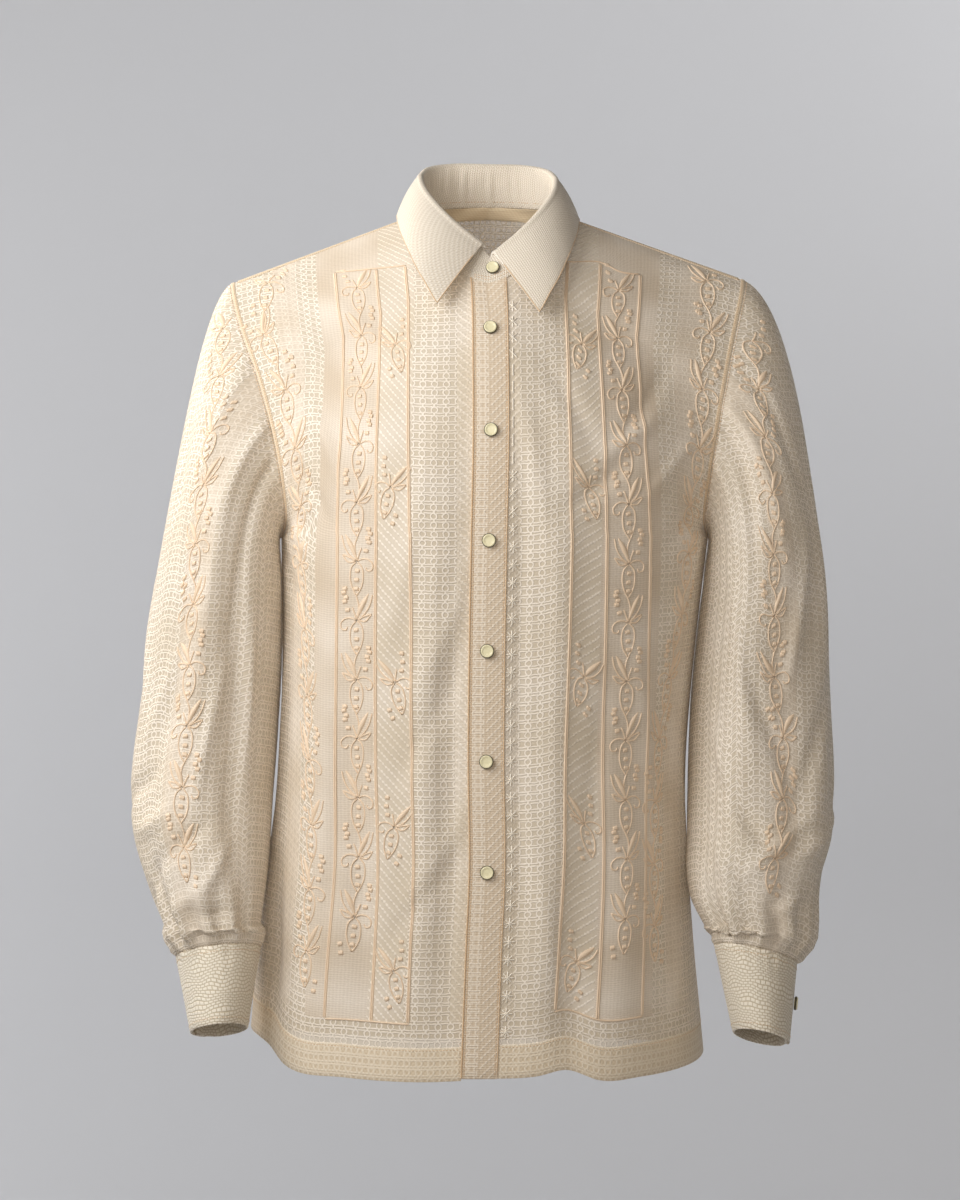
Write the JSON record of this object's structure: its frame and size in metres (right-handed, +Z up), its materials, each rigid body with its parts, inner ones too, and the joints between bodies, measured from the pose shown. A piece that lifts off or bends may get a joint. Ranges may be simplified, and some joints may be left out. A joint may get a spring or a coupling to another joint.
{
  "type": "barong tagalog shirt",
  "caption": "Long-sleeved embroidered barong tagalog shirt with a pointed collar, buttoned front and gathered cuffs, filled out as worn.",
  "frame": {"origin": "on the shirt's middle line, level with the points where the neck meets the shoulder seams", "axes": "+X towards the wearer's left, -Y towards the front, +Z up"},
  "size_m": [0.643, 0.2745, 0.8319],
  "materials": {
    "ecru_net": "sheer cream net weave with a soft sheen",
    "doubled_net": "the same net laid double",
    "firm_weave": "matt ribbed cream cloth, doubled and interfaced",
    "pale_shell_button": "pale glossy shell"
  },
  "bodies": {
    "root": {"front_right": "ecru_net", "front_left": "ecru_net", "back": "ecru_net", "sleeve_right": "ecru_net", "sleeve_left": "ecru_net", "placket": "doubled_net", "button_stand": "doubled_net", "cuff_right": "firm_weave", "cuff_left": "firm_weave", "collar_stand": "firm_weave", "collar_leaf": "firm_weave", "button_collar": "pale_shell_button", "button_front_1": "pale_shell_button", "button_front_2": "pale_shell_button", "button_front_3": "pale_shell_button", "button_front_4": "pale_shell_button", "button_front_5": "pale_shell_button", "button_front_6": "pale_shell_button", "button_cuff_right": "pale_shell_button", "button_cuff_left": "pale_shell_button"}
  },
  "joints": []
}
